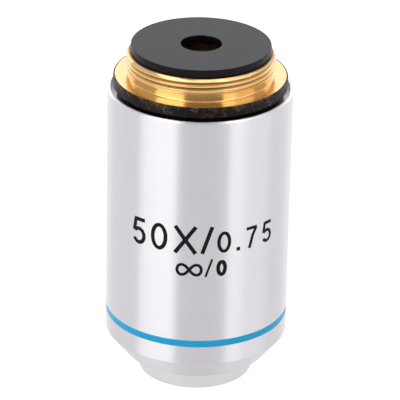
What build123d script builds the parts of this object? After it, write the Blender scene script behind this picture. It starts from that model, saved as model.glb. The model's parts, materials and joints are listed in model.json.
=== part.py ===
from build123d import *

import os
from math import copysign, sqrt

# A sprung high-power microscope objective, standing on its nose.
# Lengths are in millimetres. The origin is the centre of the nose's end face,
# and +Z runs up the optical axis towards the mounting thread.

# Height of the seating shoulder above the nose
parfocal_distance = 45.0
working_distance = 0.6

# Brass mount: objective thread, undercut neck, seat and flange
thread_radius = 10.16
thread_end_height = 3.3
thread_lead_in = 0.35
thread_wall = 1.5
neck_depth = 0.36
neck_height = 1.2
neck_fillet = 0.8
shoulder_width = 1.74
flange_thickness = 1.48
flange_chamfer = 0.2
boss_length = 3.6
boss_wall = 1.2
mount_bore_step = 0.76

# Rear stop: the black disc with the exit pupil's hole
aperture_radius = 2.8
aperture_chamfer = 0.12
stop_inset = 0.62
stop_height = 1.12
stop_chamfer = 0.2
stop_web = 0.9
stop_spigot_length = 1.5
stop_spigot_wall = 1.2

# Outer sleeve: its thin rim stands clear of the mount's flange
flange_clearance = 0.35
rim_gap = 0.33
rim_wall = 0.45
sleeve_wall = 1.35
rim_depth = 1.57
rim_chamfer = 0.2
cone_start_height = 6.3
cone_end_height = 3.05
lip_wall = 1.2
lip_thickness = 1.15
sleeve_floor_step = 0.9
inner_cone_flare = 0.45

# Blue colour ring, let into a groove of the sleeve
colour_ring_low = 9.0
colour_ring_width = 1.0
colour_ring_depth = 0.15

# Main body: the black tube inside the sleeve
body_thread_wall = 2.3
body_relief = 0.4
body_thread_length = 9.0
body_pilot_length = 4.0
body_foot_clearance = 1.0
ledge_width = 0.38
ledge_thickness = 2.4

# Sliding lens barrel, its stop and its guide screw
nose_travel = 2.0
shim_thickness = 0.3
band_relief = 0.47
front_band_length = 4.0
rear_band_length = 3.5
barrel_wall = 1.97
stack_web_thickness = 1.0
stack_web_width = 1.0
guide_screw_radius = 1.0
guide_dog_radius = 0.75
guide_dog_depth = 0.65
guide_slot_depth = 0.95
driver_slot_width = 0.35
driver_slot_depth = 0.5

# Coil spring
spring_length = 7.0
spring_turns = 4
spring_wire_radius = 0.27
spring_inset = 0.65
spring_flat_count = 8

# Nose: the short tapered end cell, with the front lens at its tip
nose_step = 0.09
nose_taper = 0.6
nose_foot_round = 0.2
nose_taper_height = 2.4
nose_height = 5.6
nose_spigot_length = 3.0
nose_spigot_step = 0.42
nose_spigot_wall = 1.4
nose_dish_width = 1.25
nose_dish_depth = 0.3
nose_floor_height = 2.4

# Front lens: a bevelled flat face and a dome
front_lens_radius = 2.65
front_lens_bevel = 0.4
front_lens_edge = 0.35
front_lens_dome = 2.25

# Meniscus: the wall of its cell, its edge, and how deep each surface is at that edge
meniscus_cell_wall = 1.72
meniscus_edge = 1.0
meniscus_hollow_depth = 1.1
meniscus_dome_height = 2.1

# Front cemented doublet
front_cell_wall = 1.58
front_crown_edge = 0.6
front_flint_edge = 2.5
front_low_depth = 1.1
front_joint_depth = 1.9
front_high_depth = 0.35

# Middle cemented doublet
middle_cell_wall = 1.38
middle_crown_edge = 0.6
middle_flint_edge = 2.6
middle_low_depth = 1.0
middle_joint_depth = 1.85
middle_high_depth = 0.25

# Rear group: a thick cemented meniscus that flattens the field
rear_cell_wall = 2.18
rear_crown_edge = 1.4
rear_flint_edge = 3.7
rear_low_depth = 1.85
rear_joint_depth = 0.6
rear_hollow_depth = 1.9

# Cells and rings that hold the lenses
lens_seat_width = 0.5
lens_seat_thickness = 0.6
cell_mouth_depth = 0.6
front_spacer_share = 0.5
spacer_wall = 1.0
lock_ring_wall = 1.6
lock_ring_thickness = 1.2
lock_ring_recess = 0.4
meniscus_ring_thickness = 0.9
meniscus_ring_recess = 0.3
spanner_slot_width = 0.8
spanner_slot_depth = 0.5

# Clearances between mating pieces
screw_clearance = 0.05
slide_clearance = 0.03
lens_clearance = 0.02
seat_clearance = 0.01
cement_gap = 0.01
nose_clearance = 0.35
end_clearance = 0.1

# Radii, worked outwards from the thread to the sleeve
flange_radius = thread_radius + shoulder_width
rim_bore = flange_radius + flange_clearance
sleeve_radius = rim_bore + rim_wall
stop_bore = thread_radius - thread_wall
mount_bore = stop_bore - mount_bore_step

# Radii, worked inwards from the sleeve
sleeve_bore = sleeve_radius - sleeve_wall
body_radius = sleeve_bore - screw_clearance
relief_radius = body_radius - body_relief
guide_bore = body_radius - body_thread_wall
ledge_bore = guide_bore - ledge_width
boss_radius = guide_bore + boss_wall
band_radius = guide_bore - slide_clearance
barrel_radius = band_radius - band_relief
spigot_radius = ledge_bore - slide_clearance
lens_bore = band_radius - barrel_wall
web_bore = lens_bore - stack_web_width
cell_radius = lens_bore - lens_clearance
spring_radius = guide_bore - spring_inset
nose_radius = spigot_radius - nose_step
nose_foot_radius = nose_radius - nose_taper
mouth_radius = nose_radius + nose_clearance
lip_radius = mouth_radius + lip_wall
nose_spigot_radius = lens_bore + nose_spigot_step
nose_bore = nose_spigot_radius - nose_spigot_wall
meniscus_radius = nose_bore - meniscus_cell_wall

# Levels along the axis, worked down from the shoulder
shoulder_level = parfocal_distance - working_distance
mount_top = shoulder_level + thread_end_height
flange_low = shoulder_level - flange_thickness
boss_low = flange_low - boss_length
rim_level = flange_low - rim_gap
barrel_top = boss_low - spring_length
lock_ring_top = barrel_top - lock_ring_recess
lock_ring_low = lock_ring_top - lock_ring_thickness

# Levels along the axis, worked up from the nose
nose_top = nose_height + nose_spigot_length
web_low = nose_top + end_clearance
stack_seat = web_low + stack_web_thickness
body_low = nose_height + nose_travel + body_foot_clearance
ledge_level = body_low + ledge_thickness
barrel_shoulder = ledge_level + shim_thickness
sleeve_floor = body_low - sleeve_floor_step
meniscus_ring_low = nose_top - meniscus_ring_recess - meniscus_ring_thickness
guide_level = (barrel_shoulder + front_band_length + barrel_top - rear_band_length) / 2

# The guide screw's plane: it looks out along +Y, at the back of the objective
screw_plane = Plane(origin=(0, 0, guide_level), x_dir=(0, 0, 1), z_dir=(0, 1, 0))

os.makedirs("parts", exist_ok=True)


def curve_rise(edge_radius, depth, height):
    """How far a spherical surface, which is depth deep at its edge, rises from there to a height."""
    curve = (edge_radius**2 + depth**2) / (2 * abs(depth))
    middle_depth = curve - sqrt(curve**2 - height**2)
    return copysign(abs(depth) - middle_depth, depth)


def seat_rise(radius, low_depth):
    """How far a lens's rim stands above its seat, whose inner edge is what it sits on."""
    return max(0, curve_rise(radius, low_depth, radius - lens_seat_width)) + seat_clearance


def write_lens(label, radius, low_depth, high_depth, edge, rim_low):
    """Turn one lens from its edge and the depths of its two surfaces, and write it.

    A surface's depth is positive where it bulges out of the lens, and negative where it is hollow.
    """
    rim_high = rim_low + edge
    half_height = radius / 2
    low_apex = rim_low - low_depth
    high_apex = rim_high + high_depth
    low_middle = rim_low - curve_rise(radius, low_depth, half_height)
    high_middle = rim_high + curve_rise(radius, high_depth, half_height)
    with BuildPart() as blank:
        with BuildSketch(Plane.XZ):
            with BuildLine():
                ThreePointArc((0, low_apex), (half_height, low_middle), (radius, rim_low))
                Line((radius, rim_low), (radius, rim_high))
                ThreePointArc((radius, rim_high), (half_height, high_middle), (0, high_apex))
                Line((0, high_apex), (0, low_apex))
            make_face()
        revolve(axis=Axis.Z)
    blank.part.label = label
    export_step(blank.part, f"parts/{label}.step")


def write_cell(label, lens_radius, outer, low, high):
    """Turn a lens cell, a ring with a seat at its foot, and write it."""
    seat_radius = lens_radius - lens_seat_width
    pocket = lens_radius + lens_clearance
    seat = low + lens_seat_thickness
    with BuildPart() as cell:
        with BuildSketch(Plane.XZ):
            with BuildLine():
                Polyline(
                    (seat_radius, low),
                    (outer, low),
                    (outer, high),
                    (pocket, high),
                    (pocket, seat),
                    (seat_radius, seat),
                    close=True,
                )
            make_face()
        revolve(axis=Axis.Z)
    cell.part.label = label
    export_step(cell.part, f"parts/{label}.step")


def write_ring(label, inner, outer, low, high, spanner_slots=0):
    """Turn a plain ring, cut its spanner slots if it has any, and write it."""
    with BuildPart() as ring:
        with BuildSketch(Plane.XY.offset(low)):
            Circle(outer)
            Circle(inner, mode=Mode.SUBTRACT)
        extrude(amount=high - low)
        if spanner_slots:
            with BuildSketch(Plane.XY.offset(high)):
                with PolarLocations((inner + outer) / 2, spanner_slots):
                    Rectangle(2 * (outer - inner), spanner_slot_width)
            extrude(amount=-spanner_slot_depth, mode=Mode.SUBTRACT)
    ring.part.label = label
    export_step(ring.part, f"parts/{label}.step")


# Brass mount, bored for the rear stop and for the light
with BuildPart() as thread_mount:
    neck_radius = thread_radius - neck_depth
    stop_socket = mount_top - stop_spigot_length - end_clearance
    with BuildSketch(Plane.XZ) as outline:
        with BuildLine():
            Polyline(
                (mount_bore, boss_low),
                (boss_radius, boss_low),
                (boss_radius, flange_low),
                (flange_radius, flange_low),
                (flange_radius, shoulder_level),
                (neck_radius, shoulder_level),
                (neck_radius, shoulder_level + neck_height),
                (thread_radius, shoulder_level + neck_height),
                (thread_radius, mount_top),
                (stop_bore, mount_top),
                (stop_bore, stop_socket),
                (mount_bore, stop_socket),
                close=True,
            )
        make_face()
        neck_root = outline.vertices().sort_by_distance((neck_radius, shoulder_level))[0]
        fillet(neck_root, radius=neck_fillet)
        flange_corner = outline.vertices().sort_by_distance((flange_radius, shoulder_level))[0]
        chamfer(flange_corner, length=flange_chamfer)
        thread_corner = outline.vertices().sort_by_distance((thread_radius, mount_top))[0]
        chamfer(thread_corner, length=thread_lead_in)
    revolve(axis=Axis.Z)
thread_mount.part.label = "thread_mount"
export_step(thread_mount.part, "parts/thread_mount.step")

# Black rear stop: a disc on the mount's end face, and a hollow spigot in its bore
with BuildPart() as rear_stop:
    stop_radius = thread_radius - stop_inset
    stop_top = mount_top + stop_height
    stop_spigot = stop_bore - screw_clearance
    stop_hollow = stop_spigot - stop_spigot_wall
    with BuildSketch(Plane.XZ):
        with BuildLine():
            Polyline(
                (aperture_radius, stop_top),
                (stop_radius, stop_top),
                (stop_radius, mount_top),
                (stop_spigot, mount_top),
                (stop_spigot, mount_top - stop_spigot_length),
                (stop_hollow, mount_top - stop_spigot_length),
                (stop_hollow, stop_top - stop_web),
                (aperture_radius, stop_top - stop_web),
                close=True,
            )
        make_face()
    revolve(axis=Axis.Z)
    top_edges = rear_stop.edges().filter_by(GeomType.CIRCLE).group_by(Axis.Z)[-1]
    chamfer(top_edges.sort_by(SortBy.RADIUS)[0], length=aperture_chamfer)
    chamfer(top_edges.sort_by(SortBy.RADIUS)[-1], length=stop_chamfer)
rear_stop.part.label = "rear_stop"
export_step(rear_stop.part, "parts/rear_stop.step")

# Black main body: a stepped tube with a guide bore, a ledge at its foot,
# and a tapped hole through its wall for the guide screw
with BuildPart() as main_body:
    boss_socket = boss_radius + screw_clearance
    socket_floor = boss_low - end_clearance
    pilot_top = body_low + body_pilot_length
    body_thread_low = flange_low - body_thread_length
    with BuildSketch(Plane.XZ):
        with BuildLine():
            Polyline(
                (ledge_bore, body_low),
                (body_radius, body_low),
                (body_radius, pilot_top),
                (relief_radius, pilot_top + body_relief),
                (relief_radius, body_thread_low - body_relief),
                (body_radius, body_thread_low),
                (body_radius, flange_low),
                (boss_socket, flange_low),
                (boss_socket, socket_floor),
                (guide_bore, socket_floor),
                (guide_bore, ledge_level),
                (ledge_bore, ledge_level),
                close=True,
            )
        make_face()
    revolve(axis=Axis.Z)
    with BuildSketch(screw_plane):
        Circle(guide_screw_radius + lens_clearance)
    extrude(amount=body_radius, mode=Mode.SUBTRACT)
main_body.part.label = "main_body"
export_step(main_body.part, "parts/main_body.step")

# Outer sleeve: a thin rim, a long bore, a groove for the colour ring,
# and a cone that closes in to a lip around the nose
with BuildPart() as outer_sleeve:
    groove_radius = sleeve_radius - colour_ring_depth
    colour_ring_high = colour_ring_low + colour_ring_width
    lip_inner_level = cone_end_height + lip_thickness
    with BuildSketch(Plane.XZ):
        with BuildLine():
            Polyline(
                (mouth_radius, cone_end_height),
                (lip_radius, cone_end_height),
                (sleeve_radius, cone_start_height),
                (sleeve_radius, colour_ring_low),
                (groove_radius, colour_ring_low),
                (groove_radius, colour_ring_high),
                (sleeve_radius, colour_ring_high),
                (sleeve_radius, rim_level),
                (rim_bore, rim_level),
                (rim_bore, rim_level - rim_depth),
                (sleeve_bore, rim_level - rim_depth),
                (sleeve_bore, sleeve_floor),
                (mouth_radius + inner_cone_flare, lip_inner_level),
                (mouth_radius, lip_inner_level),
                close=True,
            )
        make_face()
    revolve(axis=Axis.Z)
    rim_edges = outer_sleeve.edges().filter_by(GeomType.CIRCLE).group_by(Axis.Z)[-1]
    chamfer(rim_edges.sort_by(SortBy.RADIUS)[-1], length=rim_chamfer)
outer_sleeve.part.label = "outer_sleeve"
export_step(outer_sleeve.part, "parts/outer_sleeve.step")

# Blue enamel ring in the sleeve's groove, and the shim on the body's ledge
write_ring("colour_ring", groove_radius, sleeve_radius, colour_ring_low, colour_ring_high)
write_ring("parfocal_shim", ledge_bore, band_radius, ledge_level, barrel_shoulder)

# Guide screw: its slotted end lies in the body's wall, its dog point in the barrel's slot
with BuildPart() as guide_screw:
    dog_end = barrel_radius - guide_dog_depth
    thread_start = guide_bore + end_clearance
    head_end = relief_radius - end_clearance
    with BuildSketch(screw_plane.offset(dog_end)):
        Circle(guide_dog_radius)
    extrude(amount=thread_start - dog_end)
    with BuildSketch(screw_plane.offset(thread_start)):
        Circle(guide_screw_radius)
    extrude(amount=head_end - thread_start)
    with BuildSketch(screw_plane.offset(head_end)):
        Rectangle(3 * guide_screw_radius, driver_slot_width)
    extrude(amount=-driver_slot_depth, mode=Mode.SUBTRACT)
guide_screw.part.label = "guide_screw"
export_step(guide_screw.part, "parts/guide_screw.step")

# Lens barrel: a front spigot through the ledge, two guide bands,
# a web that the stack of cells sits on, and an axial slot for the guide screw
with BuildPart() as lens_barrel:
    nose_socket = nose_spigot_radius + screw_clearance
    with BuildSketch(Plane.XZ):
        with BuildLine():
            Polyline(
                (nose_socket, nose_height),
                (spigot_radius, nose_height),
                (spigot_radius, barrel_shoulder),
                (band_radius, barrel_shoulder),
                (band_radius, barrel_shoulder + front_band_length),
                (barrel_radius, barrel_shoulder + front_band_length),
                (barrel_radius, barrel_top - rear_band_length),
                (band_radius, barrel_top - rear_band_length),
                (band_radius, barrel_top),
                (lens_bore, barrel_top),
                (lens_bore, stack_seat),
                (web_bore, stack_seat),
                (web_bore, web_low),
                (nose_socket, web_low),
                close=True,
            )
        make_face()
    revolve(axis=Axis.Z)
    dog_room = guide_dog_radius + screw_clearance
    slot_length = nose_travel + 2 * dog_room + screw_clearance
    slot_middle = dog_room - slot_length / 2
    with BuildSketch(screw_plane.offset(barrel_radius - guide_slot_depth)):
        with Locations((slot_middle, 0)):
            SlotOverall(slot_length, 2 * dog_room)
    extrude(amount=guide_slot_depth + band_relief, mode=Mode.SUBTRACT)
lens_barrel.part.label = "lens_barrel"
export_step(lens_barrel.part, "parts/lens_barrel.step")

# Coil spring between the barrel and the mount's boss, its ends ground flat.
# Its wire is drawn with flats, which keeps a hidden coil light.
with BuildPart() as spring:
    with BuildLine():
        coil = Helix(
            pitch=spring_length / spring_turns,
            height=spring_length,
            radius=spring_radius,
            center=(0, 0, barrel_top),
        )
    with BuildSketch(Plane(origin=coil @ 0, z_dir=coil % 0)):
        RegularPolygon(spring_wire_radius, spring_flat_count)
    sweep()
    with BuildSketch(Plane.XY.offset(barrel_top)):
        Circle(guide_bore)
    extrude(amount=spring_length, mode=Mode.INTERSECT)
spring.part.label = "spring"
export_step(spring.part, "parts/spring.step")

# Nose cell: a dished tip with the front lens's seat, the taper that shows
# below the sleeve, and a hollow spigot that screws into the barrel
with BuildPart() as nose_cell:
    lens_pocket = front_lens_radius + lens_clearance
    lens_face = front_lens_radius - front_lens_bevel
    nose_dish_radius = lens_face + nose_dish_width
    with BuildSketch(Plane.XZ) as outline:
        with BuildLine():
            Polyline(
                (lens_face, nose_dish_depth),
                (nose_dish_radius, 0),
                (nose_foot_radius, 0),
                (nose_radius, nose_taper_height),
                (nose_radius, nose_height),
                (nose_spigot_radius, nose_height),
                (nose_spigot_radius, nose_top),
                (nose_bore, nose_top),
                (nose_bore, nose_floor_height),
                (lens_pocket + front_lens_bevel, nose_floor_height),
                (lens_pocket, nose_floor_height - front_lens_bevel),
                (lens_pocket, nose_dish_depth + front_lens_bevel + lens_clearance),
                close=True,
            )
        make_face()
        foot_corner = outline.vertices().sort_by_distance((nose_foot_radius, 0))[0]
        fillet(foot_corner, radius=nose_foot_round)
    revolve(axis=Axis.Z)
nose_cell.part.label = "nose_cell"
export_step(nose_cell.part, "parts/nose_cell.step")

# Front lens: a flat face, a bevel in the nose's seat and a dome above
with BuildPart() as front_lens:
    face_level = nose_dish_depth + seat_clearance
    bevel_top = face_level + front_lens_bevel
    edge_top = bevel_top + front_lens_edge
    dome_top = edge_top + front_lens_dome
    dome_middle = edge_top + curve_rise(front_lens_radius, front_lens_dome, front_lens_radius / 2)
    with BuildSketch(Plane.XZ):
        with BuildLine():
            Polyline(
                (0, dome_top),
                (0, face_level),
                (lens_face, face_level),
                (front_lens_radius, bevel_top),
                (front_lens_radius, edge_top),
            )
            ThreePointArc((front_lens_radius, edge_top), (front_lens_radius / 2, dome_middle), (0, dome_top))
        make_face()
    revolve(axis=Axis.Z)
front_lens.part.label = "front_lens"
export_step(front_lens.part, "parts/front_lens.step")

# Meniscus in its cell, held down in the nose by a lock ring
nose_cell_fit = nose_bore - lens_clearance
meniscus_seat = nose_floor_height + lens_seat_thickness
meniscus_rim = meniscus_seat + seat_rise(meniscus_radius, -meniscus_hollow_depth)
write_cell("meniscus_cell", meniscus_radius, nose_cell_fit, nose_floor_height, meniscus_ring_low)
write_lens(
    "meniscus_lens", meniscus_radius, -meniscus_hollow_depth, meniscus_dome_height,
    meniscus_edge, meniscus_rim,
)
write_ring(
    "meniscus_lock_ring", nose_bore - lock_ring_wall, nose_cell_fit,
    meniscus_ring_low, meniscus_ring_low + meniscus_ring_thickness, spanner_slots=2,
)

# Three cemented pairs, each with its cell's wall, its three surfaces and its two edges
pairs = {
    "front_doublet": (
        front_cell_wall, front_low_depth, front_joint_depth, front_high_depth,
        front_crown_edge, front_flint_edge,
    ),
    "middle_doublet": (
        middle_cell_wall, middle_low_depth, middle_joint_depth, middle_high_depth,
        middle_crown_edge, middle_flint_edge,
    ),
    "rear_group": (
        rear_cell_wall, rear_low_depth, rear_joint_depth, -rear_hollow_depth,
        rear_crown_edge, rear_flint_edge,
    ),
}
cell_lengths = {}
for pair, (wall, low_depth, joint_depth, high_depth, crown_edge, flint_edge) in pairs.items():
    lens_edges = seat_rise(cell_radius - wall, low_depth) + crown_edge + cement_gap + flint_edge
    cell_lengths[pair] = lens_seat_thickness + lens_edges + cell_mouth_depth

# The cells stand on the barrel's web, and two spacers share what they leave free
spare_length = lock_ring_low - stack_seat - sum(cell_lengths.values())
front_spacer_low = stack_seat + cell_lengths["front_doublet"]
middle_cell_low = front_spacer_low + front_spacer_share * spare_length
rear_spacer_low = middle_cell_low + cell_lengths["middle_doublet"]
rear_cell_low = lock_ring_low - cell_lengths["rear_group"]
cell_levels = {"front_doublet": stack_seat, "middle_doublet": middle_cell_low, "rear_group": rear_cell_low}
for pair, (wall, low_depth, joint_depth, high_depth, crown_edge, flint_edge) in pairs.items():
    radius = cell_radius - wall
    cell_low = cell_levels[pair]
    crown_rim = cell_low + lens_seat_thickness + seat_rise(radius, low_depth)
    flint_rim = crown_rim + crown_edge + cement_gap
    write_cell(f"{pair}_cell", radius, cell_radius, cell_low, cell_low + cell_lengths[pair])
    write_lens(f"{pair}_crown", radius, low_depth, joint_depth, crown_edge, crown_rim)
    write_lens(f"{pair}_flint", radius, -joint_depth, high_depth, flint_edge, flint_rim)
write_ring("front_spacer", cell_radius - spacer_wall, cell_radius, front_spacer_low, middle_cell_low)
write_ring("rear_spacer", cell_radius - spacer_wall, cell_radius, rear_spacer_low, rear_cell_low)

# Lock ring that clamps the stack
write_ring(
    "barrel_lock_ring", cell_radius - lock_ring_wall, cell_radius,
    lock_ring_low, lock_ring_top, spanner_slots=2,
)
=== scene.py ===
# %% [markdown]
# A microscope objective, dressed for a portrait. The solids come from a CAD model, which is loaded
# below as a fixed frame. This lesson gives that frame its finishes: satin plate, turned brass,
# black anodising, enamel and printed figures, with a helical thread on the mount. Everything is in
# metres, with +Z up the optical axis and the nose's end face at the origin.

# %% The frame
import json
from math import cos, hypot, pi, radians, sin, tan

import bmesh
import bpy
from mathutils import Matrix, Vector


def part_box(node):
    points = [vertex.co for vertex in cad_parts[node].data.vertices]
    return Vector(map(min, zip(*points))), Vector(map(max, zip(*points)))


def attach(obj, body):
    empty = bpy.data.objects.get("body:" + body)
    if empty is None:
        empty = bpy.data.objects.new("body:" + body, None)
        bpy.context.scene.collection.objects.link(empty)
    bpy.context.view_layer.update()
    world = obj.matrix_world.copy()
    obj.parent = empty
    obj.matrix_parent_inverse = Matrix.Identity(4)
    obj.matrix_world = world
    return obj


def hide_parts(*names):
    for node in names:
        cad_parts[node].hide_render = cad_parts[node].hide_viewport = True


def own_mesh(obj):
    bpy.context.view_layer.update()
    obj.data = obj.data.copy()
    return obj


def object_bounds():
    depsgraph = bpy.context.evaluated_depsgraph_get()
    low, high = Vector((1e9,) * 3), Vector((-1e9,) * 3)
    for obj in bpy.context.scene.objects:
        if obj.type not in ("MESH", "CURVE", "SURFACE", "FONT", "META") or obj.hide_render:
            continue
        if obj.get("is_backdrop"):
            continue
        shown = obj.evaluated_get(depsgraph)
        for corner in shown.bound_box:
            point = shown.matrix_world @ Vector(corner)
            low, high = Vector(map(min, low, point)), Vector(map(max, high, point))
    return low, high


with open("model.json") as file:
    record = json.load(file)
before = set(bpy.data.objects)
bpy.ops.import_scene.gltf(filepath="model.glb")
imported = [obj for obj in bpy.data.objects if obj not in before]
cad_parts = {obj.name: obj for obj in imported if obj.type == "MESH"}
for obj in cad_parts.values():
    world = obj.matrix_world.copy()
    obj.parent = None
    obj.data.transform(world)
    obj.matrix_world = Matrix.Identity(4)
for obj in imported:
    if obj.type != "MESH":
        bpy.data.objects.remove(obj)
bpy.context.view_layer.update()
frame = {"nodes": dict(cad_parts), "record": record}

mm = 0.001

# %% [markdown]
# The camera comes first, because everything after it is judged through it. It stands well back
# with a long lens, so the barrel's sides stay nearly parallel, and it looks down by about 25
# degrees. The objective leans a little in the picture, and a small roll of the camera gives that
# lean.

# %% The camera
view_elevation = radians(25.35)
view_distance = 421.45 * mm
view_roll = radians(1.207)
aim_point = Vector((0.267, 0, 25.35)) * mm
sensor_width = 36.0
lens_to_sensor = 7.602

camera_data = bpy.data.cameras.new("camera")
camera_data.sensor_width = sensor_width
camera_data.lens = lens_to_sensor * sensor_width
camera_data.clip_start = 1 * mm
camera = bpy.data.objects.new("camera", camera_data)
bpy.context.scene.collection.objects.link(camera)
bpy.context.scene.camera = camera

backwards = Vector((0, -cos(view_elevation), sin(view_elevation)))
upright = backwards.to_track_quat("Z", "Y").to_matrix()
turned = upright @ Matrix.Rotation(view_roll, 3, "Z")
camera.matrix_world = Matrix.Translation(aim_point + view_distance * backwards) @ turned.to_4x4()
print("camera stands", round(camera.matrix_world.translation.z / mm, 1), "mm up")

# %% [markdown]
# A shader is easier to read as a sum than as a web of nodes. The small class below wraps one
# output socket. Arithmetic on it adds the Math nodes, so `1 - mask` is a wire too. Colours are
# blended with Mix nodes, because a Math node would turn them grey. Any other node comes from one
# method, `add`.

# %% Wires: shader maths as Python
class Wire:
    """An output socket of a node, or the empty start of a tree."""

    def __init__(self, tree, socket=None):
        self.tree = tree
        self.socket = socket

    def add(self, kind, settings=(), inputs=(), output=0):
        """Add a node of a kind, set it up, feed its sockets, and return one output's wire."""
        node = self.tree.nodes.new("ShaderNode" + kind)
        for name, value in dict(settings).items():
            setattr(node, name, value)
        for key, value in dict(inputs).items():
            if isinstance(value, Wire):
                self.tree.links.new(value.socket, node.inputs[key])
            else:
                node.inputs[key].default_value = value
        return Wire(self.tree, node.outputs[output] if node.outputs else None)

    def math(self, operation, *operands):
        return self.add("Math", {"operation": operation}, enumerate(operands))

    def __add__(self, other):
        return self.math("ADD", self, other)

    def __radd__(self, other):
        return self.math("ADD", other, self)

    def __sub__(self, other):
        return self.math("SUBTRACT", self, other)

    def __rsub__(self, other):
        return self.math("SUBTRACT", other, self)

    def __mul__(self, other):
        return self.math("MULTIPLY", self, other)

    def __rmul__(self, other):
        return self.math("MULTIPLY", other, self)

    def __truediv__(self, other):
        return self.math("DIVIDE", self, other)

    def __pow__(self, other):
        return self.math("POWER", self, other)

    def swing(self, amount):
        """Noise round one half, as a swing either side of nothing."""
        return (self - 0.5) * amount

    def rise(self, start, end):
        """A smooth step: 0 below start, 1 above end."""
        return self.add(
            "MapRange",
            {"interpolation_type": "SMOOTHSTEP"},
            {"Value": self, "From Min": start, "From Max": end},
        )

    def blend(self, first, second):
        """A colour between two, with this wire as the share of the second."""
        inputs = {0: self, 6: first, 7: second}
        return self.add("Mix", {"data_type": "RGBA"}, inputs, output=2)

    def mix(self, first, second):
        """A shader between two."""
        return self.add("MixShader", (), {0: self, 1: first, 2: second})


def grey(level):
    """A neutral colour."""
    return (level, level, level, 1)


print("a grey that reflects half the light:", grey(0.5))

# %% [markdown]
# The room. In the photograph the objective stands on white, and its satin barrel
# shows tall soft bands: two bright boxes to the left and right of the camera, and a dim gap
# between them where the camera stands. A lamp could be placed for each band. Painting them on the
# world round the compass is easier to adjust, because a turned barrel shows every direction of the
# compass once. Over the bands hangs one more box, under a dark roof. Bright boxes are a touch
# warm, and dim walls a touch cool, which is what gives bare metal its life. The camera itself sees
# plain white, through the Light Path node.

# %% Bands of the room
room_bands = {
    "behind, on the left": (-181, -131, 1.60),
    "left wall": (-131, -74, 0.80),
    "left softbox": (-74, -26, 2.45),
    "gap where the camera stands": (-26, 37, 0.36),
    "right softbox": (37, 58, 2.05),
    "right wall": (58, 95, 1.40),
    "right wall, further back": (95, 128, 0.75),
    "behind, on the right": (128, 181, 1.60),
}
band_edge = 1.2
box_overhead_level = 2.3
box_overhead_low = 0.85
box_overhead_high = 0.94
roof_level = 0.25
overhead_edge = 0.06
roof_edge = 0.03
warmth_per_level = 0.3
cool_grey = (0.93, 0.91, 1.0, 1)
warm_white = (1.0, 0.985, 0.965, 1)
print("bands in the room:", len(room_bands))

# %% [markdown]
# The world's texture coordinate is the direction of a ray. Its east and north parts give the angle
# on the compass, and its up part gives the height. Each band is a step up and a step down of that
# angle, times its level, and the sum of the bands is the strength of the light.

# %% The room painted on the world
world = bpy.data.worlds.new("room")
world.use_nodes = True
world.node_tree.nodes.clear()
bpy.context.scene.world = world
start = Wire(world.node_tree)
direction = start.add("TexCoord", (), (), "Generated")
east, north, up = [start.add("SeparateXYZ", (), {0: direction}, axis) for axis in "XYZ"]
compass = start.math("ARCTAN2", east, north * -1) * (180 / pi)
room = 0.0
for low, high, level in room_bands.values():
    begun = compass.rise(low - band_edge, low + band_edge)
    ended = compass.rise(high - band_edge, high + band_edge)
    room = (begun - ended) * level + room
overhead = up.rise(box_overhead_low, box_overhead_low + overhead_edge)
roof = up.rise(box_overhead_high, box_overhead_high + roof_edge)
room = room * (1 - overhead) + (overhead - roof) * box_overhead_level + roof * roof_level
tint = (room * warmth_per_level).blend(cool_grey, warm_white)
for_camera = start.add("LightPath", (), (), "Is Camera Ray")
through_glass = start.add("LightPath", (), (), "Is Transmission Ray")
plainly = start.math("MINIMUM", for_camera + through_glass, 1.0)
plain = start.add("Background", (), {"Color": grey(1), "Strength": 1.0})
lit = start.add("Background", (), {"Color": tint, "Strength": room})
start.add("OutputWorld", (), {"Surface": plainly.mix(lit, plain)})
print("the world is made of", len(world.node_tree.nodes), "nodes")

# %% [markdown]
# The floor has to look white and still keep the objective's shadow. White paper alone would come
# out grey here, so part of what the camera sees of it is a glow, and the rest is paper that takes
# shadow. Glass shows the camera's floor, and metal one of the same kind that is a little less
# bright.

# %% The floor
floor_half = 4.0
paper_colour = 0.30
glow_for_camera = 0.86
glow_for_metal = 0.58

mesh = bpy.data.meshes.new("floor")
corners = [(x * floor_half, y * floor_half, 0) for x, y in ((-1, -1), (1, -1), (1, 1), (-1, 1))]
mesh.from_pydata(corners, [], [(0, 1, 2, 3)])
floor = bpy.data.objects.new("floor", mesh)
bpy.context.scene.collection.objects.link(floor)
floor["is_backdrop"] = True

material = bpy.data.materials.new("white_floor")
material.use_nodes = True
material.node_tree.nodes.clear()
start = Wire(material.node_tree)
for_camera = start.add("LightPath", (), (), "Is Camera Ray")
through_glass = start.add("LightPath", (), (), "Is Transmission Ray")
in_metal = start.add("LightPath", (), (), "Is Glossy Ray")
glow = (for_camera + through_glass) * glow_for_camera + in_metal * glow_for_metal
paper = start.add("BsdfDiffuse", (), {"Color": grey(paper_colour)})
white = start.add("Emission", (), {"Color": grey(1), "Strength": glow})
start.add("OutputMaterial", (), {"Surface": start.add("AddShader", (), {0: paper, 1: white})})
mesh.materials.append(material)

bpy.context.scene.view_settings.view_transform = "Standard"
print("the floor is", 2 * floor_half, "m wide")

# %% [markdown]
# Nearly every surface here came off a lathe, so its fine marks run round the axis. Three facts
# follow from that, and one helper holds them. The marks are noise that changes fast along the
# outline and slowly round the axis. Their bump is a few micrometres deep. And the highlight is
# drawn out across the marks, which is what the shader's anisotropy does, turned by a quarter.

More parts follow.
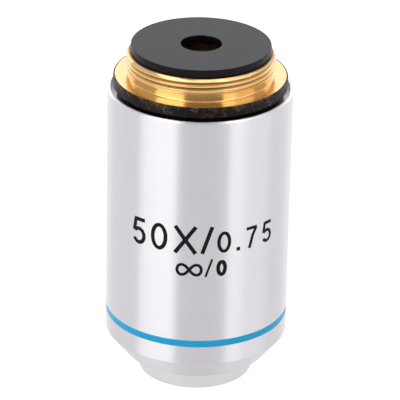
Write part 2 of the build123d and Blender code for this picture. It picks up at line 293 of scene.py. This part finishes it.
# %% Coordinates and turning marks
class Turned:
    """The start of a turned surface's material: its coordinates in millimetres and its marks."""

    def __init__(self, name):
        self.material = bpy.data.materials.new(name)
        self.material.use_nodes = True
        self.material.node_tree.nodes.clear()
        self.start = Wire(self.material.node_tree)
        place = self.start.add("TexCoord", (), (), "Object")
        self.x, self.y, self.z = [
            self.start.add("SeparateXYZ", (), {0: place}, axis) / mm for axis in "XYZ"
        ]
        self.radius = (self.x * self.x + self.y * self.y) ** 0.5

    def vector(self, x, y, z):
        return self.start.add("CombineXYZ", (), {0: x, 1: y, 2: z})

    def marks(self, per_mm, round_axis=0.05, detail=3.0):
        """Streaks that run round the axis, as many to the millimetre as given."""
        along = (self.z + self.radius) * per_mm
        where = self.vector(self.x * round_axis, self.y * round_axis, along)
        return self.start.add("TexNoise", (), {"Vector": where, "Scale": 1.0, "Detail": detail})

    def patches(self, per_mm, detail=2.0):
        """Soft irregular patches, such as handling leaves."""
        where = self.vector(self.x, self.y, self.z)
        return self.start.add("TexNoise", (), {"Vector": where, "Scale": per_mm, "Detail": detail})

    def bump(self, height, depth_mm, strength=1.0):
        inputs = {"Height": height, "Distance": depth_mm * mm, "Strength": strength}
        return self.start.add("Bump", (), inputs)

    def finish(self, **sockets):
        """Close the material with a Principled shader, from its sockets' values or wires."""
        named = {name.replace("_", " ").title(): value for name, value in sockets.items()}
        named = {name.replace("Ior", "IOR"): value for name, value in named.items()}
        shader = self.start.add("BsdfPrincipled", (), named)
        self.start.add("OutputMaterial", (), {"Surface": shader})
        return self.material


across_the_marks = 0.25
finishes = {}


def keep_finish(slot, material):
    """Store a finish under the name that the record has for it."""
    finishes[slot] = material
    print(slot, "is made of", len(material.node_tree.nodes), "nodes")


# %% [markdown]
# The sleeve is brass with a satin plate of dull chrome. Plate keeps the turning marks of the metal
# under it. The marks vary the roughness a little and bump the surface by a few micrometres, and
# faint patches keep the long barrel from looking like a computer's cylinder.

# %% Satin plate
def satin_plate():
    plate = Turned("satin_plate")
    fine = plate.marks(per_mm=9.0)
    broad = plate.marks(per_mm=1.3, round_axis=0.02)
    handling = plate.patches(per_mm=0.35)
    tone = fine.swing(0.10) + broad.swing(0.12) + 0.5
    colour = tone.blend((0.725, 0.718, 0.742, 1), (0.835, 0.826, 0.842, 1))
    roughness = 0.330 + fine.swing(0.06) + handling.swing(0.04)
    return plate.finish(
        base_color=colour,
        roughness=roughness,
        metallic=1.0,
        anisotropic=1.0,
        anisotropic_rotation=across_the_marks,
        normal=plate.bump(fine, depth_mm=0.0025),
    )


keep_finish("satin_chrome", satin_plate())

# %% [markdown]
# The mount is bare brass, turned bright. The cutter leaves wider marks here than on the sleeve.
# Its flange was dipped in black paint afterwards, on the edge only, and handling has chipped the
# paint along its upper corner, where brass shows through. The paint is a mask on the radius and
# the height. The roots of the thread carry painted shade: their colour is darkened, and their
# roughness raised, towards the bottom of the groove, where shade falls.

# %% Brass, and the paint on its flange
flange_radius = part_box("thread_mount")[1].x / mm
paint_width = 0.24
paint_start = flange_radius - paint_width
shoulder_height = 44.4
thread_radius = 10.16
thread_depth = 0.45
bright_crest = 0.20


def brass_mount():
    brass = Turned("brass_mount")
    fine = brass.marks(per_mm=14.0)
    broad = brass.marks(per_mm=3.0, round_axis=0.08)
    tone = fine.swing(0.4) + broad.swing(0.5) + 0.5
    metal = tone.blend((0.72, 0.47, 0.19, 1), (0.88, 0.65, 0.33, 1))
    above_shoulder = brass.z - shoulder_height
    # Painted shade: from a little under the crest down to the root, the thread's colour turns dark
    # brown.
    in_thread = above_shoulder.rise(0.9, 1.1)
    below_crest = thread_radius - bright_crest - brass.radius
    painted_root_shade = below_crest.rise(0.0, thread_depth - bright_crest) * in_thread
    metal = (painted_root_shade * 0.9).blend(metal, (0.10, 0.045, 0.010, 1))
    speckle = brass.patches(per_mm=5.0, detail=5.0)
    wander = brass.patches(per_mm=0.7)
    painted = (brass.radius - paint_start + speckle.swing(0.10)).rise(0.0, 0.03)
    paint = painted * (1 - above_shoulder.rise(0.02, 0.05))
    upper = above_shoulder.rise(-0.75, 0.0)
    worn = (speckle + wander.swing(0.6) + upper * 0.10 - 0.56).rise(0.0, 0.16)
    black = worn.blend((0.0060, 0.0035, 0.0025, 1), (0.105, 0.066, 0.046, 1))
    return brass.finish(
        base_color=paint.blend(metal, black),
        metallic=1 - paint,
        roughness=0.17 + broad.swing(0.06) + paint * 0.30 + painted_root_shade * 0.2,
        anisotropic=0.6,
        anisotropic_rotation=across_the_marks,
        specular_ior_level=0.15,
        normal=brass.bump(fine, depth_mm=0.0030),
    )


keep_finish("mount_brass", brass_mount())

# %% [markdown]
# Black anodised aluminium is a dark dye under a clear oxide skin. It isn't metal to the eye: it
# has a soft white sheen at a low angle, and the marks of the tool show in that sheen as fine
# rings.

# %% Black anodising
def black_anodised():
    black = Turned("black_anodised")
    fine = black.marks(per_mm=7.0)
    dust = black.patches(per_mm=3.0, detail=6.0)
    tone = fine.swing(0.6) + dust.swing(0.5) + 0.5
    return black.finish(
        base_color=tone.blend((0.001, 0.001, 0.001, 1), (0.007, 0.006, 0.006, 1)),
        roughness=0.32 + fine.swing(0.10),
        normal=black.bump(fine, depth_mm=0.0012),
        specular_ior_level=0.16,
    )


black = black_anodised()
for slot in ("black_stop", "black_anodised", "black_spacer"):
    keep_finish(slot, black)

# %% [markdown]
# The nose is plain steel, turned and left satin, and a shade warmer and paler than the plate.

# %% Satin steel
def satin_steel():
    steel = Turned("satin_steel")
    fine = steel.marks(per_mm=11.0)
    broad = steel.marks(per_mm=2.5)
    tone = fine.swing(0.3) + broad.swing(0.3) + 0.5
    return steel.finish(
        base_color=tone.blend((0.80, 0.795, 0.785, 1), (0.93, 0.925, 0.915, 1)),
        metallic=1.0,
        roughness=0.34 + broad.swing(0.08),
        anisotropic=0.7,
        anisotropic_rotation=across_the_marks,
        normal=steel.bump(fine, depth_mm=0.0020),
    )


keep_finish("nose_steel", satin_steel())

# %% [markdown]
# The blue ring is enamel, filled into a groove of the sleeve: a smooth glossy colour that is a
# touch uneven, because enamel pulls away from the groove's edges as it dries.

# %% Enamel
def blue_enamel():
    enamel = Turned("blue_enamel")
    pooled = enamel.patches(per_mm=0.8, detail=3.0)
    speckle = enamel.patches(per_mm=12.0)
    tone = pooled.swing(1.2) + speckle.swing(0.3) + 0.5
    return enamel.finish(
        base_color=tone.blend((0.003, 0.395, 0.700, 1), (0.012, 0.440, 0.760, 1)),
        roughness=0.22 + speckle.swing(0.08),
        specular_ior_level=0.30,
        normal=enamel.bump(pooled, depth_mm=0.006),
    )


keep_finish("blue_enamel", blue_enamel())

# %% [markdown]
# The printed figures are a matte black ink with a fine grain.

# %% Ink
def black_ink():
    ink = Turned("black_ink")
    grain = ink.patches(per_mm=9.0, detail=4.0)
    return ink.finish(
        base_color=grain.blend((0.001, 0.001, 0.001, 1), (0.006, 0.006, 0.006, 1)),
        roughness=0.46 + grain.swing(0.2),
        specular_ior_level=0.15,
        normal=ink.bump(grain, depth_mm=0.004),
    )


keep_finish("black_ink", black_ink())

# %% [markdown]
# The pieces inside have finishes too, for whoever takes the objective apart: bare and blackened
# brass, spring wire and the steel of the guide screw. They are all turned metal, so one function
# makes the four, from a dark and a light tone and a roughness.

# %% Metals inside
def plain_metal(name, dark, light, roughness):
    metal = Turned(name)
    fine = metal.marks(per_mm=8.0)
    return metal.finish(
        base_color=fine.blend(dark, light),
        metallic=1.0,
        roughness=roughness + fine.swing(0.1),
        anisotropic=0.5,
        anisotropic_rotation=across_the_marks,
        normal=metal.bump(fine, depth_mm=0.0020),
    )


for slot, dark, light, roughness in (
    ("inner_brass", (0.62, 0.42, 0.17, 1), (0.80, 0.58, 0.28, 1), 0.30),
    ("blackened_cell", (0.020, 0.019, 0.018, 1), (0.050, 0.046, 0.040, 1), 0.50),
    ("spring_steel", (0.46, 0.46, 0.48, 1), (0.62, 0.62, 0.64, 1), 0.24),
    ("screw_steel", (0.30, 0.30, 0.32, 1), (0.48, 0.48, 0.50, 1), 0.35),
):
    keep_finish(slot, plain_metal(slot, dark, light, roughness))

# %% [markdown]
# The lenses are coated glass. The coating shows as a faint green when it is faced and as violet at
# a low angle, which Layer Weight gives.

# %% Coated glass
def coated_glass():
    glass = Turned("coated_glass")
    facing = glass.start.add("LayerWeight", (), {"Blend": 0.4}, "Facing")
    clean = glass.patches(per_mm=0.6)
    return glass.finish(
        base_color=facing.blend((0.90, 0.97, 0.95, 1), (0.72, 0.62, 0.93, 1)),
        roughness=0.03 + clean * 0.02,
        transmission_weight=1.0,
        ior=1.62,
    )


keep_finish("lens_glass", coated_glass())

# %% [markdown]
# Each node of the frame takes the finish that the record names for it. The outer pieces are then
# made again below, with rounded corners that catch the light, and stand in for their nodes.

# %% Dress the frame
slot_of = {part["node"]: part["material_slot"] for part in frame["record"]["subparts"]}
for name, node in frame["nodes"].items():
    node.data.materials.clear()
    node.data.materials.append(finishes[slot_of[name]])
print("dressed nodes:", len(slot_of))

# %% [markdown]
# Turned pieces are outlines spun round the axis. The Screw modifier could do that, but a direct
# loop lets the same code cut a thread. An outline is a list of corners, each with its radius, its
# height and the radius of its rounding. Sharp corners don't exist on a real lathe part, and the
# thin bright lines along its edges are their roundings.

# %% Outlines with rounded corners
arc_steps = 5
hairline = 0.02
crisp = 0.03
eased = 0.05


def rounded(corners):
    """Turn (radius, height, rounding) corners into the points of a closed outline."""
    points = []
    for index, (radius, height, rounding) in enumerate(corners):
        here = Vector((radius, height))
        to_last = Vector(corners[index - 1][:2]) - here
        to_next = Vector(corners[(index + 1) % len(corners)][:2]) - here
        half_angle = to_last.angle(to_next) / 2
        reach = rounding / tan(half_angle)
        first = here + to_last.normalized() * reach
        middle = (to_last.normalized() + to_next.normalized()).normalized()
        centre = here + middle * (rounding / sin(half_angle))
        spoke = first - centre
        sweep = pi - 2 * half_angle
        if to_last.cross(to_next) > 0:
            sweep = -sweep
        for step in range(arc_steps + 1):
            points.append(centre + Matrix.Rotation(sweep * step / arc_steps, 2) @ spoke)
    return points


square = rounded([(1, 1, eased), (2, 1, eased), (2, 2, eased), (1, 2, eased)])
print("a square with rounded corners takes", len(square), "points")

# %% [markdown]
# The spin itself goes round in equal steps, lays the outline down at each, and joins every step to
# the next with four-sided faces. A groove, where one is given, moves each point inwards first. The
# finished piece rides on its body and stands in for its node, with that node's finish.

# %% Spin an outline into a piece
def spin(name, outline, body, node, around=288, groove=None):
    """Spin an outline in millimetres into a piece that stands for a node of the frame."""
    vertices = []
    for step in range(around):
        angle = 2 * pi * step / around
        for radius, height in outline:
            if groove:
                radius -= groove(angle, radius, height)
            vertices.append((radius * cos(angle) * mm, radius * sin(angle) * mm, height * mm))
    rows = len(outline)
    faces = []
    for step in range(around):
        here = step * rows
        there = (step + 1) % around * rows
        for row in range(rows):
            after = (row + 1) % rows
            faces.append((here + row, there + row, there + after, here + after))
    mesh = bpy.data.meshes.new(name)
    mesh.from_pydata(vertices, [], faces)
    shape = bmesh.new()
    shape.from_mesh(mesh)
    bmesh.ops.recalc_face_normals(shape, faces=shape.faces)
    shape.to_mesh(mesh)
    shape.free()
    mesh.shade_smooth()
    mesh.materials.append(finishes[slot_of[node]])
    piece = bpy.data.objects.new(name, mesh)
    bpy.context.scene.collection.objects.link(piece)
    weighted = piece.modifiers.new("even_shading", "WEIGHTED_NORMAL")
    weighted.weight = 100
    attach(piece, body)
    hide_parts(node)
    print(name, "has", len(faces), "faces")


# %% [markdown]
# The sleeve: a thin rim at the top, a long wall, a shallow groove for the blue ring, and a cone
# that closes in to a lip round the nose. Its heights and its radius are read from the frame.

# %% Sleeve
sleeve_low, sleeve_high = [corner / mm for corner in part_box("outer_sleeve")]
ring_low, ring_high = [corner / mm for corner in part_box("colour_ring")]
nose_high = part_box("nose_cell")[1] / mm
body_low, body_high = [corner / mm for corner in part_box("main_body")]

sleeve_radius = sleeve_high.x
sleeve_clearance = 0.05
rim_wall = 0.45
rim_chamfer = 0.20
rim_depth = 1.57
mouth_gap = 0.35
lip_width = 1.2
lip_thickness = 1.15
lip_slope = 0.45
cone_start = 6.3
cavity_depth = 0.9
groove_depth = 0.15
mouth_rounding = 0.08
lip_rounding = 0.14
cone_rounding = 0.30

sleeve_bore = body_high.x + sleeve_clearance
rim_bore = sleeve_radius - rim_wall
rim_floor = sleeve_high.z - rim_depth
mouth_radius = nose_high.x + mouth_gap
lip_radius = mouth_radius + lip_width
lip_inside = sleeve_low.z + lip_thickness
sleeve_floor = body_low.z - cavity_depth
groove_floor = sleeve_radius - groove_depth

sleeve_outline = rounded([
    (mouth_radius, sleeve_low.z, mouth_rounding),
    (lip_radius, sleeve_low.z, lip_rounding),
    (sleeve_radius, cone_start, cone_rounding),
    (sleeve_radius, ring_low.z, hairline),
    (groove_floor, ring_low.z, hairline),
    (groove_floor, ring_high.z, hairline),
    (sleeve_radius, ring_high.z, hairline),
    (sleeve_radius, sleeve_high.z - rim_chamfer, crisp),
    (sleeve_radius - rim_chamfer, sleeve_high.z, crisp),
    (rim_bore, sleeve_high.z, crisp),
    (rim_bore, rim_floor, eased),
    (sleeve_bore, rim_floor, eased),
    (sleeve_bore, sleeve_floor, eased),
    (mouth_radius + lip_slope, lip_inside, eased),
    (mouth_radius, lip_inside, eased),
])
spin("sleeve", sleeve_outline, "housing", "outer_sleeve")

# %% [markdown]
# The blue ring fills its groove, flush with the sleeve. Its outer corners are rounded a little more
# than the groove's, and that leaves a hairline between enamel and plate.

# %% Blue ring
ring_rounding = 0.04

ring_outline = rounded([
    (groove_floor, ring_low.z, hairline),
    (sleeve_radius, ring_low.z, ring_rounding),
    (sleeve_radius, ring_high.z, ring_rounding),
    (groove_floor, ring_high.z, hairline),
])
spin("blue_ring", ring_outline, "housing", "colour_ring")

# %% [markdown]
# The rear stop is a thick black disc that screws into the mount with the spigot under it. The
# corners of the disc and of its hole are rounded a little. Light leaves through the hole.

# %% Rear stop
stop_low, stop_high = [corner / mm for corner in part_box("rear_stop")]
mount_low, mount_high = [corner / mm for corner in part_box("thread_mount")]
aperture = 2.8
stop_spigot = 8.61
spigot_wall = 1.2
web_thickness = 0.9
stop_hollow = stop_spigot - spigot_wall
web_low = stop_high.z - web_thickness
stop_rounding = 0.10
aperture_rounding = 0.11

stop_outline = rounded([
    (aperture, web_low, crisp),
    (stop_hollow, web_low, eased),
    (stop_hollow, stop_low.z, eased),
    (stop_spigot, stop_low.z, eased),
    (stop_spigot, mount_high.z, crisp),
    (stop_high.x, mount_high.z, eased),
    (stop_high.x, stop_high.z, stop_rounding),
    (aperture, stop_high.z, aperture_rounding),
])
spin("stop_disc", stop_outline, "housing", "rear_stop")

# %% [markdown]
# The mount carries the objective thread: 36 turns to the inch, with the 55 degree form that such
# threads have. A thread is a groove that climbs as it goes round, so it could be a profile swept
# along a helix and cut from the mount. Here a function gives the groove's depth from the angle and
# the height, and the spin presses it in, which leaves one clean mesh. The groove fades out into
# the lead-in chamfer above and the undercut neck below.

# %% Thread
thread_pitch = 25.4 / 36
thread_phase = 0.07
flank_slope = tan(radians(27.5))
neck_height = 1.2
lead_in = 0.35
thread_low = shoulder_height + neck_height
runout = 0.20
root_half_width = 0.03
slack = 0.01


def thread_groove(angle, radius, height):
    """How deep the thread is cut at a point of the mount's outline."""
    if radius < thread_radius - lead_in - slack or not thread_low <= height <= mount_high.z:
        return 0.0
    turn = height / thread_pitch - angle / (2 * pi) + thread_phase
    off_middle = abs(turn - round(turn)) * thread_pitch
    already_in = thread_radius - radius
    depth = thread_depth - max(root_half_width, off_middle) / flank_slope - already_in
    runs_out = min(1.0, (height - thread_low) / runout)
    return max(0.0, depth) * runs_out


print("turns of thread:", round((mount_high.z - thread_low) / thread_pitch, 1))

# %% [markdown]
# Round the thread, the mount has a boss that goes into the body, a flange, a neck under the thread
# and a socket for the rear stop's spigot. The neck meets the shoulder in a keen corner, because a
# wide fillet there would catch the box overhead as a bright line. Only the stretch that carries
# the thread needs many rows, and they are put in between two points of the outline.

# %% Mount
mount_bore = 7.9
body_wall = 1.1
boss_radius = body_high.x - body_wall
flange_low = body_high.z
spigot_clearance = 0.05
socket_clearance = 0.1
stop_bore = stop_spigot + spigot_clearance
stop_socket = stop_low.z - socket_clearance
neck_depth = 0.36
neck_radius = thread_radius - neck_depth
neck_fillet = 0.15
neck_relief = 0.10
boss_rounding = 0.10
flange_foot_rounding = 0.08
flange_rounding = 0.14
socket_rounding = 0.04

mount_outline = rounded([
    (mount_bore, mount_low.z, eased),
    (boss_radius, mount_low.z, boss_rounding),
    (boss_radius, flange_low, eased),
    (flange_radius, flange_low, flange_foot_rounding),
    (flange_radius, shoulder_height, flange_rounding),
    (neck_radius, shoulder_height, neck_fillet),
    (neck_radius, thread_low, neck_relief),
    (thread_radius, thread_low, crisp),
    (thread_radius, mount_high.z - lead_in, crisp),
    (thread_radius - lead_in, mount_high.z, eased),
    (stop_bore, mount_high.z, eased),
    (stop_bore, stop_socket, socket_rounding),
    (mount_bore, stop_socket, socket_rounding),
])
thread_rows = 60
shortest_stretch = 1
threaded = []
for index, point in enumerate(mount_outline):
    threaded.append(point)
    after = mount_outline[(index + 1) % len(mount_outline)]
    if min(point.x, after.x) > thread_radius - slack and after.y - point.y > shortest_stretch:
        threaded += [point.lerp(after, row / thread_rows) for row in range(1, thread_rows)]
spin("mount", threaded, "housing", "thread_mount", around=240, groove=thread_groove)

# %% [markdown]
# The nose is the only part of the moving lens unit that shows. It tapers to a flat end face, which
# is dished round the front lens so that the lens can't be scratched by the cover glass.

# %% Nose
nose_radius = nose_high.x
nose_taper = 0.6
taper_height = 2.4
nose_height = 5.6
spigot_radius = 7.42
nose_wall = 1.4
nose_bore = spigot_radius - nose_wall
lens_pocket = 2.67
lens_face = 2.25
dish_radius = 3.5
dish_depth = 0.3
nose_floor = 2.4
pocket_bevel = 0.4
dish_rounding = 0.06
tip_rounding = 0.20
taper_rounding = 0.30

nose_outline = rounded([
    (lens_face, dish_depth, hairline),
    (dish_radius, 0, dish_rounding),
    (nose_radius - nose_taper, 0, tip_rounding),
    (nose_radius, taper_height, taper_rounding),
    (nose_radius, nose_height, eased),
    (spigot_radius, nose_height, eased),
    (spigot_radius, nose_high.z, eased),
    (nose_bore, nose_high.z, eased),
    (nose_bore, nose_floor, eased),
    (lens_pocket + pocket_bevel, nose_floor, eased),
    (lens_pocket, nose_floor - pocket_bevel, eased),
    (lens_pocket, dish_depth + pocket_bevel + hairline, hairline),
])
spin("nose", nose_outline, "lens_unit", "nose_cell")

# %% [markdown]
# The spring inside pushes the lens unit down, and its lower end has to follow when the nose is
# pressed in. The wire could be spun again as a helix, but a copy of its node has the right turns
# already. The copy rides on the housing.

coil = bpy.data.objects.new("coil_spring", frame["nodes"]["spring"].data.copy())
coil.matrix_world = frame["nodes"]["spring"].matrix_world
bpy.context.scene.collection.objects.link(coil)
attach(coil, "housing")
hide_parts("spring")
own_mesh(coil)

# %% [markdown]
# The figures. Real ones are printed on the barrel with a pad, in strokes of one width. A text
# object could be bent round the barrel, but drawing each figure as a few strokes gives the plain
# engraver's shapes of the photograph, and lets every stroke follow the curve. The lettering is
# generic: a magnification over an aperture, and the sign for a tube of infinite length.

# %% Strokes on a cylinder
stroke_steps = 10


def line(x1, y1, x2, y2):
    shares = [k / stroke_steps for k in range(stroke_steps + 1)]
    return [(x1 + (x2 - x1) * share, y1 + (y2 - y1) * share) for share in shares]


def arc(x, y, across, tall, first, last):
    """Points on an ellipse, from one angle in degrees to another."""
    steps = 3 * stroke_steps
    angles = [radians(first + (last - first) * k / steps) for k in range(steps + 1)]
    return [(x + across * cos(a), y + tall * sin(a)) for a in angles]


def infinity(width, tall, middle):
    """A figure eight on its side."""
    steps = 6 * stroke_steps
    fullest = 1.42
    points = []
    for k in range(steps + 1):
        a = 2 * pi * k / steps
        slim = 1 + sin(a) ** 2
        x = width / 2 + width / 2 * cos(a) / slim
        y = middle + tall * fullest * sin(a) * cos(a) / slim
        points.append((x, y))
    return points


def figures(pen):
    """Every figure's strokes and width, one unit tall, for a pen of a width."""
    half = pen / 2
    return {
        "5": ([
            line(0.13, 1 - half, 0.56, 1 - half),
            line(0.175, 1 - pen * 0.3, 0.105, 0.475),
            arc(0.305, 0.325, 0.29 - half, 0.325 - half, 142, -152),
        ], 0.60),
        "0": ([arc(0.31, 0.5, 0.31 - half, 0.5 - half, 0, 360)], 0.62),
        "X": ([line(0.05, 0, 0.76, 1), line(0.05, 1, 0.76, 0)], 0.81),
        "/": ([line(0.03, 0, 0.36, 1)], 0.39),
        ".": ([line(0.07, 0, 0.07, pen * 1.05)], 0.14),
        "7": ([
            line(0.04, 1 - half, 0.57, 1 - half),
            line(0.54, 1 - half, 0.36, 0.58),
            line(0.365, 0.60, 0.20, 0),
        ], 0.60),
        "infinity": ([infinity(1.36, 0.62, 0.42)], 1.36),
    }


print("figures that can be drawn:", " ".join(figures(0.1)))

# %% [markdown]
# The two lines of figures are laid out as on a flat strip, which the barrel's radius then bends
# round. Each figure has its height, the width of its pen and the gap after it, all in millimetres.

# %% Lay out the figures
def print_line(words, base, middle_degrees):
    """Lay out (figure, height, pen, gap after) items round the barrel and return their ribbons."""
    widths = [figures(pen / tall)[word][1] * tall for word, tall, pen, gap in words]
    total = sum(widths) + sum(gap for word, tall, pen, gap in words[:-1])
    cursor = sleeve_radius * radians(middle_degrees) - total / 2
    ribbons = []
    for (word, tall, pen, gap), width in zip(words, widths):
        for stroke in figures(pen / tall)[word][0]:
            ribbons.append(([(cursor + x * tall, base + y * tall) for x, y in stroke], pen / 2))
        cursor += width + gap
    return ribbons


large, small, bold = 4.0, 3.2, 2.45
ribbons = print_line(
    [
        ("5", large, 0.56, 0.82), ("0", large, 0.56, 0.86), ("X", large, 0.56, 0.58),
        ("/", large, 0.54, 0.58), ("0", small, 0.48, 0.86), (".", small, 0.52, 0.86),
        ("7", small, 0.46, 0.84), ("5", small, 0.46, 0),
    ],
    base=23.3, middle_degrees=4.0,
)
ribbons += print_line(
    [("infinity", bold, 0.42, 0.50), ("/", bold * 1.08, 0.30, 0.50), ("0", bold, 0.54, 0)],
    base=19.8, middle_degrees=3.4,
)
print("strokes laid out:", len(ribbons))

# %% [markdown]
# A stroke becomes a thin ribbon: four corners at each of its points, two just above the plate and
# two just under it, so that every ribbon is a closed little solid.

# %% Print the figures
ink_height = 0.012
ink_root = 0.03

vertices = []
faces = []
for points, half in ribbons:
    first = len(vertices)
    for index, point in enumerate(points):
        before = points[max(index - 1, 0)]
        after = points[min(index + 1, len(points) - 1)]
        run = hypot(after[0] - before[0], after[1] - before[1])
        side = (-(after[1] - before[1]) / run * half, (after[0] - before[0]) / run * half)
        for sign, rise in ((1, ink_height), (-1, ink_height), (-1, -ink_root), (1, -ink_root)):
            angle = (point[0] + sign * side[0]) / sleeve_radius
            radius = (sleeve_radius + rise) * mm
            height = (point[1] + sign * side[1]) * mm
            vertices.append((radius * sin(angle), -radius * cos(angle), height))
    for section in range(len(points) - 1):
        here = first + 4 * section
        for corner in range(4):
            after = (corner + 1) % 4
            faces.append((here + corner, here + after, here + 4 + after, here + 4 + corner))
    last = first + 4 * (len(points) - 1)
    faces += [(first + 3, first + 2, first + 1, first), (last, last + 1, last + 2, last + 3)]
mesh = bpy.data.meshes.new("figures")
mesh.from_pydata(vertices, [], faces)
mesh.materials.append(finishes["black_ink"])
printed = bpy.data.objects.new("figures", mesh)
bpy.context.scene.collection.objects.link(printed)
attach(printed, "housing")
print("figures has", len(faces), "faces")

# %% [markdown]
# Last, the box round every piece that is drawn is found, with the floor left out.

# %% Sizes and finish
low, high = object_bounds()
